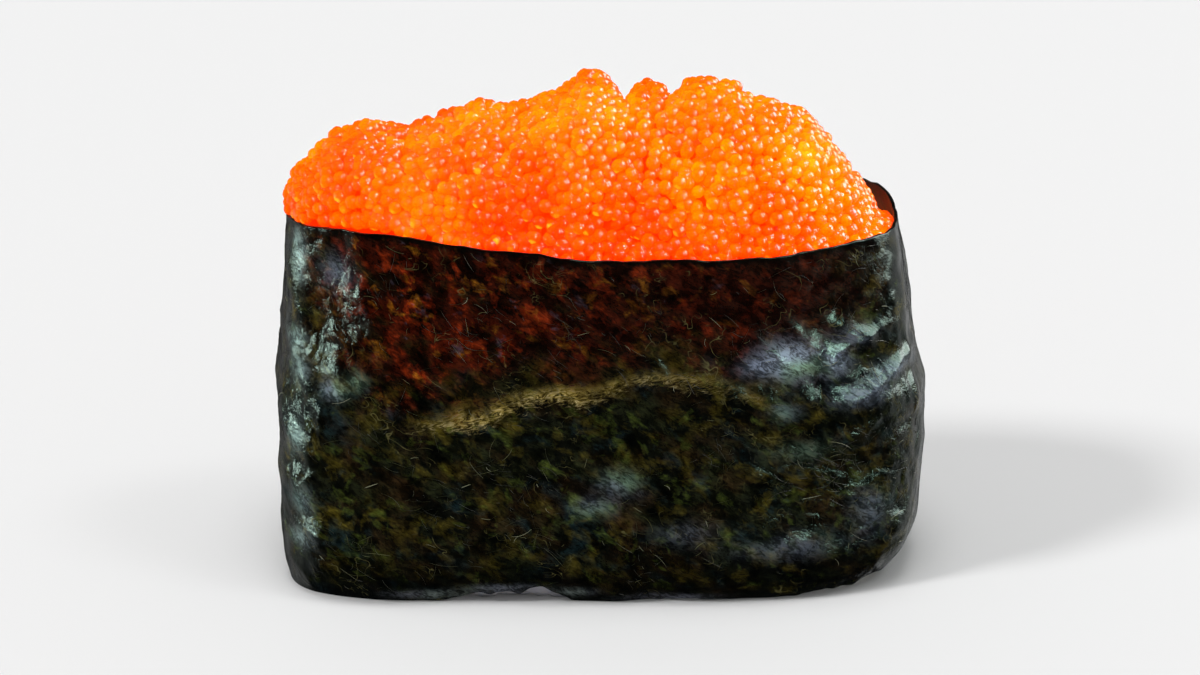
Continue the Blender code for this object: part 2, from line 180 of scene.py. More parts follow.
def shoulderLevel(x):  # the line where the rice's shoulder presses the nori out, highest near x = 5
    return 20.6 - 3.2 * smoothStep(np.abs(x - 5.0) / 26.0)


def lowRelief(angle, z):  # three long waves + a ridge at the shoulder - a fold at the left corner
    waves = 0.16 * np.sin(7 * angle + 0.24 * z) + 0.12 * np.sin(12 * angle - 0.31 * z + 1.3)
    waves = waves + 0.08 * np.sin(17 * angle + 0.2 * z + 0.4)
    shoulder = 0.45 * np.exp(-(((z - shoulderLevel(28 * np.cos(angle))) / 2.0) ** 2))
    corner = swelling(angle % turn, *band["cornerFold"])
    return waves + shoulder - corner * smoothStep(z / 6.0)


def bandRadius(angle, z):  # superellipse (|cos/a|^n + |sin/b|^n)^(-1/n) + low relief
    across = np.where(np.cos(angle) > 0, halfSize("right", z), halfSize("left", z))
    along = np.where(np.sin(angle) > 0, halfSize("back", z), halfSize("front", z))
    power = squareness(angle, z)
    inverse = np.abs(np.cos(angle) / across) ** power + np.abs(np.sin(angle) / along) ** power
    return inverse ** (-1 / power) + lowRelief(angle, z)


def outlinePoint(angle, z):  # radius turned to x and y
    radius = bandRadius(angle, z)
    return np.stack([radius * np.cos(angle), radius * np.sin(angle)], -1)


def inwards(angle, z):  # the outline's tangent, by difference, turned a quarter to the left
    tangent = outlinePoint(angle + 1e-3, z) - outlinePoint(angle - 1e-3, z)
    tangent /= np.linalg.norm(tangent, axis=-1, keepdims=True)
    return np.stack([-tangent[..., 1], tangent[..., 0]], -1)


def bandPoint(angle, z, inset):  # outline point + inset * inward direction
    flat = outlinePoint(angle, z) + inwards(angle, z) * np.asarray(inset)[..., None]
    return np.concatenate([flat, (z + 0 * angle)[..., None]], -1)


def rimLevel(angle):  # height + a lift at the front left and a sag at the front right + a slow wave
    angle = angle % turn
    lift, sag = (swelling(angle, *values) for values in band["rimBumps"])
    return band["height"] + lift + sag + 0.12 * np.sin(9 * angle)


def footLevel(angle):  # lifts in front and at the right + two slow waves, and never under the plate
    angle = angle % turn
    lift = sum(swelling(angle, *values) for values in band["footBumps"])
    return np.maximum(0.0, lift + 0.2 * np.sin(5 * angle) + 0.15 * np.sin(11 * angle))


# the CAD is centred on its box, so everything made here is shifted as the band is:
# by the middle of the CAD node's box - the middle of the band's box worked out here
def bandShift():
    angle, z = np.meshgrid(np.linspace(0, turn, 900), np.linspace(0, 1, 60))
    z = footLevel(angle) + (rimLevel(angle) - footLevel(angle)) * z
    points = bandPoint(angle, z, 0 * angle).reshape(-1, 3)
    low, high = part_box("nori_wrap")
    middle = (np.array(low) + np.array(high)) / 2 / mm
    own = (points.min(0) + points.max(0)) / 2
    return np.array([middle[0] - own[0], middle[1] - own[1], 0.0])


shift = bandShift()
print("band shift in mm:", shift.round(2))

nori = {
    "crumple": 0.34, "crumpleCell": 4.4,  # height and size of the small wrinkles
    "lumps": 0.16, "lumpCell": 4.6,  # rice grains felt through the damp sheet
    "fibres": 1500, "fibreLength": (0.3, 2.2), "fibreWidth": (0.008, 0.022), "tufts": 90,
    # colours below and above the shoulder, with tints: size in mm, seed, noise at none and at full, hex
    "lower": "#070704",
    "lowerTints": (
        (2.6, 1.0, 0.44, 0.72, "#1c1e0e"), (2.0, 2.0, 0.52, 0.8, "#4a400d"),
        (2.8, 3.0, 0.48, 0.76, "#251708"), (2.4, 4.0, 0.54, 0.8, "#142529"), (1.5, 5.0, 0.56, 0.8, "#3d4717"),
    ),
    # above the shoulder: red-brown, painted glow of the roe through the damp sheet
    "upper": "#0d0200",
    "upperTints": (
        (2.4, 6.0, 0.44, 0.72, "#460f02"), (1.6, 7.0, 0.53, 0.8, "#8a2804"), (1.4, 8.0, 0.57, 0.8, "#84500a"),
        (2.0, 9.0, 0.54, 0.74, "#151305"), (1.6, 10.0, 0.61, 0.8, "#443f4c"),
    ),
    # pale patches on the front, partly the sheet's own bloom and partly painted sheen: x, z, half length,
    # half height and strength
    "bloomAndSheen": (
        (-26.4, 30.5, 0.5, 2.2, 0.9), (-23.0, 29.6, 1.2, 1.3, 0.3), (-26.8, 22.9, 0.7, 0.8, 1.0),
        (-26.4, 20.6, 0.8, 1.1, 0.5), (-23.2, 19.6, 0.9, 0.7, 0.7), (-21.2, 20.6, 0.8, 0.7, 0.4),
        (-26.9, 14.6, 0.6, 1.4, 0.7), (-26.4, 9.0, 0.8, 1.2, 0.6), (-26.6, 5.5, 0.9, 0.8, 0.7),
        (16.2, 23.0, 2.2, 1.4, 1.4), (20.0, 22.6, 1.3, 1.1, 0.8), (13.3, 22.6, 1.2, 0.7, 0.5),
        (22.6, 19.4, 2.2, 0.9, 0.5), (21.9, 24.7, 1.9, 0.8, 0.3), (15.8, 18.3, 1.1, 0.7, 0.4),
        (25.5, 20.8, 1.8, 0.8, 0.5), (17.5, 14.5, 2.6, 0.8, 0.2),
        (1.6, 12.0, 1.6, 1.1, 0.45), (-0.8, 9.6, 1.6, 0.8, 0.4), (7.5, 7.2, 2.4, 0.9, 0.15),
        (16.5, 5.6, 4.2, 1.0, 0.25), (23.5, 8.2, 1.4, 2.0, 0.3),
        (-15.0, 0.8, 3.0, 0.4, 0.6), (-9.0, 1.5, 2.5, 0.4, 0.6), (-2.5, 1.2, 1.5, 0.4, 0.5),
        (6.0, 0.3, 3.5, 0.4, 0.5),
    ),
    # folds on the front as x, z of both ends, half width and height
    "folds": (
        (-27.5, 31.0, -26.0, 24.0, 0.9, 0.5), (-27.0, 22.0, -24.5, 17.5, 0.8, 0.4),
        (-28.0, 16.0, -25.5, 13.0, 0.8, 0.45), (-27.5, 11.0, -24.0, 8.5, 0.9, 0.45),
        (-26.5, 6.5, -22.0, 5.5, 0.8, 0.35), (-21.0, 29.0, -18.5, 24.0, 1.0, 0.3),
        (12.5, 25.0, 17.0, 21.5, 1.3, 0.4), (16.0, 26.0, 21.5, 20.5, 1.0, 0.4),
        (22.0, 19.0, 27.5, 22.0, 0.7, 0.5), (14.5, 19.5, 24.0, 19.0, 0.9, 0.35),
        (19.2, 23.0, 19.0, 16.5, 0.5, -0.45), (20.2, 26.0, 24.0, 23.4, 0.8, 0.35),
        (2.0, 8.5, 6.0, 6.0, 1.2, 0.3), (8.5, 6.0, 15.0, 7.5, 1.0, 0.3),
        (11.0, 13.5, 14.0, 12.0, 1.0, 0.25), (22.5, 9.5, 26.0, 6.0, 1.0, 0.3),
    ),
}


def foldRelief(x, z):  # each fold: height * exp(-(distance to its line / half width)^2), lower at its ends
    total = 0.0
    for startX, startZ, endX, endZ, width, height in nori["folds"]:
        alongX, alongZ = endX - startX, endZ - startZ
        share = np.clip(((x - startX) * alongX + (z - startZ) * alongZ) / (alongX**2 + alongZ**2), 0, 1)
        distance = np.hypot(x - startX - alongX * share, z - startZ - alongZ * share)
        total = total + height * np.exp(-((distance / width) ** 2)) * np.sin(np.pi * (0.15 + 0.7 * share))
    return total


def bloomAndSheenAt(points):  # bloom and painted sheen: sum of strength * exp(-(offset / half size)^2), at most 1.4, on the front alone
    total = 0.0
    for x, z, halfLength, halfHeight, strength in nori["bloomAndSheen"]:
        offset = ((points[..., 0] - x) / halfLength) ** 2 + ((points[..., 2] - z) / halfHeight) ** 2
        total = total + strength * np.exp(-offset)
    return np.clip(total, 0, 1.4) * (points[..., 1] < 0)


def noriRelief(angle, z):  # crumples, strongest at the ends, + rice lumps below the shoulder + folds in front
    base = bandPoint(angle, z, 0 * angle)
    warped = base + 1.2 * softNoise(base, 5.0, 3)[..., None]
    atEnds = smoothStep((np.abs(base[..., 0]) - 14) / 10)
    cell = nori["crumpleCell"]
    crumple = creaseNoise(warped, cell, 4) + 0.2 * creaseNoise(warped, cell / 2, 14)
    crumple = (crumple - 0.4) * (0.25 + 0.75 * atEnds) * (1 - 0.6 * np.cos(angle) ** 8)
    crumple = crumple * (1 - 0.6 * smoothStep((z - 24) / 6))
    fine = softNoise(warped, 1.3, 5) * (0.02 + 0.03 * atEnds)
    below = smoothStep((shoulderLevel(base[..., 0]) - z) / 3)
    lumps = softNoise(base * [0.75, 0.75, 1.2], nori["lumpCell"], 6) * below
    front = smoothStep(-np.sin(angle) / 0.12)
    return (nori["crumple"] * crumple + fine + nori["lumps"] * lumps
            + foldRelief(base[..., 0], z) * front)


# bandPoint at that share of the strip's height, out by the relief; the lap's tail lies one thickness
# further out, and 0.35 mm lower at its upper edge
def stripPoint(angle, share, inset):
    foot, rim = footLevel(angle), rimLevel(angle)
    over = smoothStep((angle - turn - band["lapStart"]) / math.radians(7) + 1)
    z = foot + (rim - foot) * share
    relief = noriRelief(angle, z) * (1 - 0.8 * smoothStep((1.5 - z) / 1.5))
    outwards = relief + over * (band["thickness"] + 0.04)
    points = bandPoint(angle, z, inset - outwards)
    points[..., 2] = np.maximum(points[..., 2] - 0.35 * over * smoothStep(share), 0.0)
    return points


def evenAngles(start, end, count):  # angles whose points are evenly far apart round the band
    fine = np.linspace(start, end, 6000)
    steps = np.linalg.norm(np.diff(outlinePoint(fine, 16.0 + 0 * fine), axis=0), axis=1)
    length = np.concatenate([[0], np.cumsum(steps)])
    return np.interp(np.linspace(0, length[-1], count), length, fine)


# grid: angle along the strip x its section, up the outer face, over the rim and down the inner face
def makeNoriBand(material):
    outerRows = band["innerRows"] * 4 - 3
    angles = evenAngles(band["lapStart"], turn + band["lapEnd"], band["columns"])
    share = np.concatenate([np.linspace(0, 1, outerRows), np.linspace(1, 0, band["innerRows"])])[:, None]
    share[[1, -2]] = 0.002  # rows close to both cuts keep them crisp
    share[[outerRows - 2, outerRows + 1]] = 0.998
    inset = band["thickness"] * (np.arange(len(share)) >= outerRows)[:, None] + 0 * angles
    grid = stripPoint(angles + 0 * share, share, inset)
    ragged = 0.12 * softNoise(grid, 0.9, 7) + 0.1 * softNoise(grid, 2.5, 8)  # the cut edge isn't clean
    grid[..., 2] += ragged * np.exp(-((1 - share) * band["height"] / 0.8) ** 2)
    lifted = smoothStep(footLevel(angles) / 0.3)
    grid[..., 2] += 2.5 * ragged * lifted * np.exp(-(share * band["height"] / 0.9) ** 2)
    grid[..., 2] = np.maximum(grid[..., 2], 0)
    rows, columns = grid.shape[:2]
    blocks = [gridFaces(rows, columns, closedRows=True)]
    for column in (0, columns - 1):  # the strip's two cut ends: fans from each inner point
        inner = rows - 1 - np.arange(band["innerRows"])
        outer = np.arange(outerRows)
        low, high = np.repeat(inner[:-1], 4), np.stack([outer[:-1], outer[1:]])
        fans = np.stack([low, high[0], high[1]], -1)
        tips = np.stack([inner[:-1], outer[4::4], inner[1:]], -1)
        end = np.concatenate([fans, tips]) * columns + column
        blocks.append(end[:, ::-1] if column == 0 else end)
    inside = (np.arange(rows) >= outerRows)[:, None] + 0 * angles
    edge = np.exp(-((1 - share) * band["height"] / 0.3) ** 2) + 0 * angles
    return makePiece("nori_band", grid.reshape(-1, 3) + shift, blocks, material,
                     {"bloomAndSheen": bloomAndSheenAt(grid), "inside": inside, "edge": edge})


def makeFibres(material):  # bowed lines on the sheet, each swept with a triangle that tapers to its ends
    draw = np.random.default_rng(21)
    count, steps, spots, middleHeight = nori["fibres"], 8, 3000, 16.0
    tuft = draw.integers(0, nori["tufts"], count)  # two in three lie in a tuft, the others anywhere
    loose = draw.random(count) < 0.35
    place = np.where(loose, draw.integers(0, spots, count), draw.integers(0, spots, nori["tufts"])[tuft])
    angle = evenAngles(0, turn, spots)[place][:, None]
    angle = angle + draw.normal(0, 1.1, count)[:, None] / bandRadius(angle, middleHeight + 0 * angle)
    level = np.where(loose, draw.uniform(0.05, 0.97, count), draw.uniform(0.08, 0.95, nori["tufts"])[tuft])
    level = np.clip(level + draw.normal(0, 0.03, count), 0.03, 0.98)[:, None]
    heading = draw.normal(-0.5, 0.8, count)[:, None] + np.pi * (draw.random(count) < 0.5)[:, None]
    length = np.exp(draw.uniform(*np.log(nori["fibreLength"]), count))[:, None]
    bow = draw.normal(0, 0.35, count)[:, None] * length
    along = np.linspace(-0.5, 0.5, steps)[None]
    sideways = bow * (0.25 - along**2)
    runX = length * along * np.cos(heading) - sideways * np.sin(heading)
    runZ = length * along * np.sin(heading) + sideways * np.cos(heading)
    angles = angle + runX / bandRadius(angle, middleHeight + 0 * angle)
    share = np.clip(level + runZ / band["height"], 0.02, 0.99)
    middle = stripPoint(np.where(angles < band["lapEnd"], angles + turn, angles), share, -0.012 + 0 * share)
    width = draw.uniform(*nori["fibreWidth"], count)[:, None] * (1 - (1.9 * np.abs(along)) ** 4)
    tangent = np.gradient(middle, axis=1)
    tangent /= np.linalg.norm(tangent, axis=-1, keepdims=True)
    out = np.stack([np.cos(angles), np.sin(angles), 0 * angles], -1)
    side = np.cross(tangent, out)
    side /= np.linalg.norm(side, axis=-1, keepdims=True)
    out = np.cross(side, tangent)
    corners = [middle + width[..., None] * (math.cos(c) * side + math.sin(c) * out) for c in (0.5, 2.64, 4.7)]
    points = np.stack(corners, 2).reshape(-1, 3) + shift
    size = 3 * steps  # points of one fibre
    faces = copiedFaces(gridFaces(steps, 3, closedColumns=True), size, count)
    tips = copiedFaces(np.array([[2, 1, 0], [size - 3, size - 2, size - 1]]), size, count)
    tone = np.repeat(draw.random(count) ** 3, size)
    return makePiece("nori_fibres", points, [faces, tips], material, {"tone": tone})


roe = {
    "egg": 1.3, "rimGap": 1.15,  # diameter, and the gap between eggs along the rim
    # each layer: gap between eggs, and how far over the skin their centres are, least and most
    "skin": (0.8, -1.05, -0.6), "under": (0.92, -1.75, -1.35), "loose": (2.2, -1.0, -0.6),
    "wall": 0.7, "core": 1.9,  # gaps from the band's outer face to the heap and to its core
    "floor": 19.4,  # the core's underside
    # the crest as x and height over the rim
    "crest": ((-28.6, 2.3), (-26.5, 3.9), (-24, 6.6), (-21, 7.2), (-17.3, 6.6), (-14, 7.8), (-11, 8.7),
              (-8.5, 8.5), (-6.5, 8.9), (-4.2, 9.8), (-1.5, 11.3), (4, 11.2), (9.5, 11.7), (11.8, 11.4),
              (13.4, 10.2), (16, 9.5), (18.5, 8.5), (21, 5.5), (23.2, 2.5), (24.2, 1.4), (25, 0.4)),
    # clumps and clefts as x, y, half length, half depth and height
    "clumps": ((-0.7, 6.0, 1.5, 4.0, 0.5), (2.1, 6.5, 0.95, 7.0, -2.8), (4.0, 6.0, 1.1, 4.0, 0.4),
               (6.2, 6.5, 0.85, 7.0, -2.8), (8.2, 6.0, 1.6, 4.0, 0.2), (-10.5, 4.0, 2.2, 3.6, 0.3),
               (-19.5, -5.0, 4.0, 4.0, 0.7), (15.0, -7.0, 5.0, 4.0, 0.7), (-4.0, -9.0, 6.0, 3.0, 0.5)),
    "left": (4.2, 0.5), "right": (2.3, 0.6),  # the dome's power and root at each end
    "glow": (-0.5, -0.55, -0.65),  # the side of an egg where its gathered light shows: low, at the front left
}


def overhang(angle):  # 1 at the left end, where the roe spills over the rim
    return smoothStep(1.4 - np.abs(angle - math.radians(184)) / 0.45)


def roeEdge(angle):  # rim, lifted where it spills over and sunk at the right and behind
    fromLow = (angle - math.radians(22) + math.pi) % turn - math.pi
    sunk = 3.2 * np.exp(-((fromLow / 0.45) ** 2)) + 0.8 * smoothStep(np.sin(angle) / 0.5)
    over = np.minimum(1, 3 * overhang(angle))
    return rimLevel(angle) + 0.6 * over - sunk * (1 - over)


def wallRadius(angle, z, inset):  # band radius - inset / cosine of the wall's slant
    inward = inwards(angle, z)
    slant = -(inward[..., 0] * np.cos(angle) + inward[..., 1] * np.sin(angle))
    return bandRadius(angle, z) - inset / slant


def roeReach(angle):  # to the wall, or 1 mm further where the roe spills over
    return wallRadius(angle, roeEdge(angle), roe["wall"]) + overhang(angle)


def dome(share, angle):  # (1 - share^power)^root, full at the left and sloping at the right
    left = smoothStep(0.5 - 0.8 * np.cos(angle))
    power = roe["right"][0] + (roe["left"][0] - roe["right"][0]) * left
    root = roe["right"][1] + (roe["left"][1] - roe["right"][1]) * left
    return np.clip(1 - share**power, 0, 1) ** root


def heapBase(angle, share):  # the rim's level in the middle, easing to the heap's own edge
    return band["height"] + (roeEdge(angle) - band["height"]) * share**2


def heapHeight(x, y, clumps=1.0):  # base + crest * dome / dome on the long axis + clumps
    angle = np.arctan2(y, x) % turn
    share = np.clip(np.hypot(x, y) / roeReach(angle), 0, 1)
    end = np.where(x > 0, 0.0, math.pi)
    along = np.clip(np.abs(x) / roeReach(end), 0, 1)
    crest = np.interp(x, *zip(*roe["crest"])) + band["height"] - heapBase(end, along)
    height = crest * dome(share, angle) / np.maximum(dome(along, end), 0.35)
    for middleX, middleY, long, deep, lift in roe["clumps"]:
        offset = ((x - middleX) / long) ** 2 + ((y - middleY) / deep) ** 2
        height = height + clumps * lift * np.exp(-offset) * (1 - share**6)
    return heapBase(angle, share) + height


def heapNormal(x, y, clumps=1.0):  # (-dz/dx, -dz/dy, 1), by difference, at length 1
    step = 0.05
    slopeX = (heapHeight(x + step, y, clumps) - heapHeight(x - step, y, clumps)) / (2 * step)
    slopeY = (heapHeight(x, y + step, clumps) - heapHeight(x, y - step, clumps)) / (2 * step)
    normal = np.stack([-slopeX, -slopeY, 1 + 0 * slopeX], -1)
    return normal / np.linalg.norm(normal, axis=-1, keepdims=True)


def heapSkin():  # the heap's surface as points: angle round the rim x share of the reach, denser at the edge
    angle = evenAngles(0, turn, 361)[:-1][None]
    share = 1 - np.linspace(0.999, 0, 90)[:, None] ** 2.2
    x, y = roeReach(angle) * share * np.cos(angle), roeReach(angle) * share * np.sin(angle)
    return np.stack([x, y, heapHeight(x, y)], -1).reshape(-1, 3)


def spreadOver(skin, gap, seed):  # each next egg goes furthest from the last ones, until the gap is met
    first = np.random.default_rng(seed).integers(len(skin))
    nearest = np.linalg.norm(skin - skin[first], axis=1)
    picked = [first]
    while nearest.max() > gap:
        picked.append(int(nearest.argmax()))
        nearest = np.minimum(nearest, np.linalg.norm(skin - skin[picked[-1]], axis=1))
    return skin[picked]


def clearOfBand(points, radius):  # centres below the rim stay their radius away from the wall
    angle = np.arctan2(points[:, 1], points[:, 0]) % turn
    inCup = points[:, 2] < rimLevel(angle) + 0.55 * radius
    most = np.where(inCup, wallRadius(angle, points[:, 2], band["thickness"] + 0.92 * radius), np.inf)
    share = np.minimum(1, most / np.hypot(points[:, 0], points[:, 1]))
    return points * np.stack([share, share, 1 + 0 * share], -1)


# centre, radius and tone of every egg: a skin, a layer under it, more in the skin, and two rows on the rim
def eggPlaces():
    draw = np.random.default_rng(31)
    skin = heapSkin()
    places = []
    for name, seed in (("skin", 5), ("under", 6), ("loose", 8)):
        gap, low, high = roe[name]
        centre = spreadOver(skin, gap, seed)
        if name == "loose":
            clump = heapHeight(centre[:, 0], centre[:, 1]) - heapHeight(centre[:, 0], centre[:, 1], 0.0)
            centre = centre[(draw.random(len(centre)) < 0.45) & (np.abs(clump) < 0.3)]
        count = len(centre)
        level = heapNormal(centre[:, 0], centre[:, 1])[:, 2:]  # less jitter where the heap is steep
        centre[:, :2] += draw.normal(0, 0.17, (count, 2)) * level
        centre[:, 2] = heapHeight(centre[:, 0], centre[:, 1])
        radius = roe["egg"] / 2 * draw.uniform(0.86, 1.06, count)
        over = draw.uniform(low, high, count)[:, None]
        centre = centre + heapNormal(centre[:, 0], centre[:, 1], 0.0) * over
        places.append(np.column_stack([clearOfBand(centre, radius), radius, draw.random(count)]))
        print("eggs in", name + ":", count)
    spots, rimLength = 3000, 150
    around = evenAngles(0, turn, spots + 1)[:-1]
    spacing = round(spots / rimLength * roe["rimGap"])
    for start, further, lift in ((0, 0.0, 0.0), (spacing // 2, 0.95, 0.35)):  # the second row is further in
        angle = around[start::spacing]
        angle = angle[overhang(angle) < 0.9]
        angle = angle + draw.normal(0, 0.015, len(angle))
        radius = roe["egg"] / 2 * draw.uniform(0.86, 1.06, len(angle))
        z = roeEdge(angle) + lift + draw.uniform(-0.35, 0.35, len(angle))
        inset = band["thickness"] + 0.95 * radius + further + draw.uniform(0, 0.3, len(angle))
        reach = wallRadius(angle, z, inset)
        centre = np.stack([reach * np.cos(angle), reach * np.sin(angle), z], -1)
        places.append(np.column_stack([centre, radius, draw.random(len(angle))]))
    return np.concatenate(places)


def eggBall():  # an icosahedron with each face split in four, and its points pushed out to radius 1
    ico = (1 + math.sqrt(5)) / 2
    corners = np.array([(-1, ico, 0), (1, ico, 0), (-1, -ico, 0), (1, -ico, 0), (0, -1, ico), (0, 1, ico),
                        (0, -1, -ico), (0, 1, -ico), (ico, 0, -1), (ico, 0, 1), (-ico, 0, -1), (-ico, 0, 1)])
    gap = np.linalg.norm(corners[:, None] - corners[None], axis=-1)
    close = np.abs(gap - 2) < 1e-6
    faces = [(a, b, c) for a in range(12) for b in range(a + 1, 12) for c in range(b + 1, 12)
             if close[a, b] and close[b, c] and close[a, c]]
    points, split, middles = list(corners), [], {}
    for a, b, c in faces:
        if np.dot(np.cross(corners[b] - corners[a], corners[c] - corners[a]), corners[a]) < 0:
            b, c = c, b
        halves = []
        for low, high in ((a, b), (b, c), (c, a)):
            key = (min(low, high), max(low, high))
            if key not in middles:
                middles[key] = len(points)
                points.append((corners[low] + corners[high]) / 2)
            halves.append(middles[key])
        ab, bc, ca = halves
        split += [(a, ab, ca), (b, bc, ab), (c, ca, bc), (ab, bc, ca)]
    points = np.array(points)
    return points / np.linalg.norm(points, axis=1, keepdims=True), np.array(split)


def makeEggs(name, places, material, seed):  # every egg: a turned, slightly squashed ball at its place
    draw = np.random.default_rng(seed)
    ball, faces = eggBall()
    count = len(places)
    axes = np.linalg.qr(draw.normal(size=(count, 3, 3)))[0]
    axes *= np.sign(np.linalg.det(axes))[:, None, None]
    squash = draw.uniform(0.94, 1.04, (count, 1, 3))
    local = (ball[None] * squash) @ axes
    points = places[:, None, :3] + local * places[:, None, 3:4]
    blocks = [copiedFaces(faces, len(ball), count)]
    towards = np.array(roe["glow"]) + draw.normal(0, 0.3, (count, 3))
    glow = (local * (towards / np.linalg.norm(towards, axis=1, keepdims=True))[:, None]).sum(-1)
    tone = places[:, 4:5] + 0 * glow
    return makePiece(name, points.reshape(-1, 3) + shift, blocks, material,
                     {"glow": glow.ravel(), "tone": tone.ravel()})


# rings stacked into a wall, and a fan of triangles from a point at each end
def makeRings(name, rings, lowEnd, highEnd, material):
    grid = np.concatenate(rings)
    rows, columns = grid.shape[:2]
    low = np.arange(columns)
    high = low + (rows - 1) * columns
    hub = rows * columns + 0 * low
    blocks = [gridFaces(rows, columns, closedColumns=True), np.stack([hub, np.roll(low, -1), low], -1),
              np.stack([hub + 1, high, np.roll(high, -1)], -1)]
    points = np.concatenate([grid.reshape(-1, 3), [lowEnd, highEnd]])
    return makePiece(name, points + shift, blocks, material)


def makeRoeCore(material):  # rings up the cup's wall, then the heap's skin set in along its normals
    angle = evenAngles(0, turn, 161)[:-1][None]
    rings = []
    for level in (roe["floor"], 24.0, 28.0):
        z = level + 0 * angle
        radius = wallRadius(angle, z, roe["core"])
        rings.append(np.stack([radius * np.cos(angle), radius * np.sin(angle), z], -1))
    for share in 1 - np.linspace(1, 0.0, 42)[::-1] ** 1.6 * 0.995:
        radius = roeReach(angle) * share * 0.999
        x, y = radius * np.cos(angle), radius * np.sin(angle)
        surface = np.stack([x, y, heapHeight(x, y)], -1)
        depth = roe["core"] + 0.2 * softNoise(surface, 0.9, 9)
        rings.append(surface - heapNormal(x, y, 0.0) * depth[..., None])
    return makeRings("roe_core", rings, [0, 0, roe["floor"]], rings[-1][0].mean(0), material)


rice = {
    "grain": (6.2, 2.7, 2.2), "wall": 0.75,  # length, width, thickness, and the gap to the band's outer face
    # the block's section from the hollow underside round its foot to the top: height, inset from the wall
    "section": ((1.3, 8.0), (1.3, 2.4), (0.5, 1.7), (0.12, 1.0), (0.12, 0.3), (0.5, -0.05), (1.2, -0.1),
                (3, 0), (8, 0), (13, 0), (17.4, 0), (18.6, 0.8), (19, 2.5), (19, 8.0)),
}


def makeRiceCore(material):  # a ring of the band's plan for each point of the section, its wall in soft folds
    angle = evenAngles(0, turn, 121)[:-1][None]
    folds = 0.15 * np.sin(23 * angle) * np.sin(9 * angle + 1)
    rings = []
    for z, inset in rice["section"]:
        level = z + 0 * angle
        radius = wallRadius(angle, level, rice["wall"] + inset)
        if inset < 1:
            radius = radius - 0.15 + folds
        rings.append(np.stack([radius * np.cos(angle), radius * np.sin(angle), level], -1))
    bottom, top = rice["section"][0][0], rice["section"][-1][0]
    return makeRings("rice_core", rings, [0, 0, bottom], [0, 0, top], material)


def makeGrains(material):  # spindles bent a little, laid over the underside and pressed flat on the plate
    draw = np.random.default_rng(17)
    length, width, thick = rice["grain"]
    rows, columns = 7, 8
    along = np.linspace(-1, 1, rows)[:, None]
    around = np.linspace(0, turn, columns, endpoint=False)[None]
    girth = (1 - np.abs(along) ** 2.6) ** 0.5 + 0.02
    grain = np.stack([along * length / 2 + 0 * around, girth * np.cos(around) * width / 2 + 0.25 * along**2,
                      girth * np.sin(around) * thick / 2], -1).reshape(-1, 3)
    places = []  # in staggered rows: x, y, height, turn and lean
    for row in range(13):
        for column in range(22):
            x = (column - 10.5 + 0.5 * (row % 2)) * 2.75 + draw.uniform(-0.8, 0.8)
            y = (row - 6) * 2.25 + draw.uniform(-0.7, 0.7)
            angle = np.array([math.atan2(y, x) % turn])
            if math.hypot(x, y) < wallRadius(angle, np.array([1.5]), 1.6)[0]:
                places.append((x, y, draw.uniform(0.9, 1.8), draw.uniform(0, math.pi),
                               draw.uniform(-0.25, 0.25)))
    places = np.array(places)
    spin, lean = places[:, 3], places[:, 4]
    alongAxis = np.stack([np.cos(spin) * np.cos(lean), np.sin(spin) * np.cos(lean), np.sin(lean)], -1)
    sideAxis = np.stack([-np.sin(spin), np.cos(spin), 0 * spin], -1)
    upAxis = np.cross(alongAxis, sideAxis)
    axes = np.stack([alongAxis, sideAxis, upAxis], 1)
    points = (grain[None] * draw.uniform(0.88, 1.08, (len(places), 1, 3))) @ axes + places[:, None, :3]
    points[..., 2] = np.maximum(points[..., 2], 0.02)
    angle = np.arctan2(points[..., 1], points[..., 0]) % turn
    most = wallRadius(angle, points[..., 2], rice["wall"] - 0.2)
    points[..., :2] *= np.minimum(1, most / np.hypot(points[..., 0], points[..., 1]))[..., None]
    size = rows * columns
    ends = np.stack([np.arange(columns)[::-1], np.arange(size - columns, size)])
    blocks = [copiedFaces(faces, size, len(places))[:, ::-1]
              for faces in (gridFaces(rows, columns, closedColumns=True), ends)]
    return makePiece("rice_grains", points.reshape(-1, 3) + shift, blocks, material)


def tinted(add, place, base, tints):  # the base colour, with each tint mixed in where its own noise is high
    colour = add("RGB")
    colour.outputs[0].default_value = srgb(base)
    for size, seed, low, high, tint in tints:
        noise = add("TexNoise", {"Scale": 1000 / size, "Detail": 5.0, "Roughness": 0.58, "Distortion": 0.5,
                                 "W": seed, "Vector": place}, noise_dimensions="4D")
        share = add("MapRange", {"Value": noise, "From Min": low, "From Max": high})
        colour = add("MixRGB", {0: share, 1: colour, 2: srgb(tint)})
    return colour
